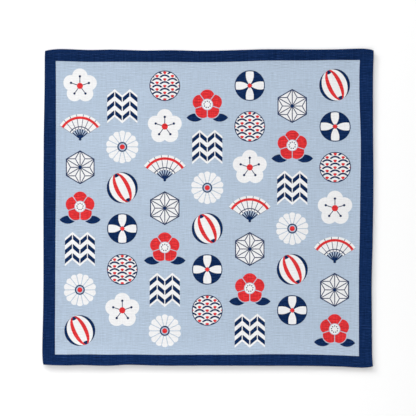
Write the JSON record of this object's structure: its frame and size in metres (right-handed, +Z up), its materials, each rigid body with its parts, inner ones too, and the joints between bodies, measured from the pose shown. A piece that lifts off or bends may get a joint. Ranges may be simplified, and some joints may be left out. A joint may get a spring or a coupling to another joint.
{
  "type": "furoshiki wrapping cloth",
  "caption": "Small square cotton furoshiki spread flat, face up, with a navy border round a pale blue printed field, narrow hems at head and foot, and gently curled edges.",
  "frame": {"origin": "on the surface that the cloth lies on, under the middle of its bounding box", "axes": "+Z up out of the cloth's face, +X from its left side to its right, the longer way, +Y from its foot hem to its head hem"},
  "size_m": [0.502, 0.4838, 0.0057],
  "materials": {
    "printed_cotton": "matt slub cotton in plain weave, pale blue field printed in white, red and navy, with a navy border"
  },
  "bodies": {
    "root": {"furoshiki_cloth": "printed_cotton"}
  },
  "joints": []
}
